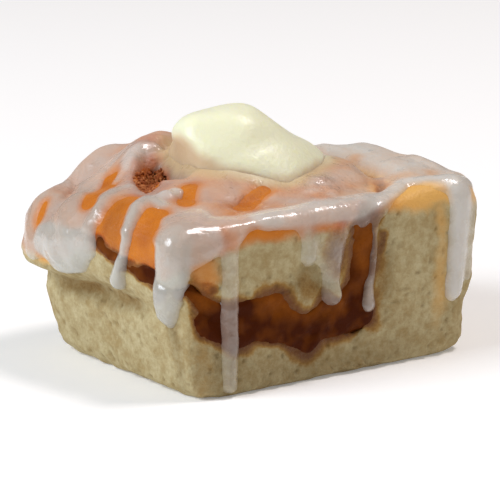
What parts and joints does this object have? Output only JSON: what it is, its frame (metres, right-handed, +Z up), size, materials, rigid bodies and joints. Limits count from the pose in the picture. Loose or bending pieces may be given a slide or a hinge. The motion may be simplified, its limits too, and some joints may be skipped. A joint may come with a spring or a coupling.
{
  "type": "cinnamon roll",
  "caption": "Square pull-apart cinnamon roll: coiled dough with cinnamon filling at its cut face, icing that drips down its sides and a knob of butter on top.",
  "frame": {"origin": "on the surface it stands on, under the middle of the roll's box", "axes": "+X to the right along the cut face, +Y to the back, away from the cut face, +Z up"},
  "size_m": [0.1164, 0.091, 0.074],
  "materials": {
    "crumb": "soft open crumb with a baked orange-brown crust",
    "cinnamon": "moist, dark and sticky",
    "icing": "wet, thin and half clear",
    "butter": "soft and melting"
  },
  "bodies": {
    "root": {"dough": "crumb", "filling": "cinnamon", "icing": "icing", "butter": "butter"}
  },
  "joints": []
}
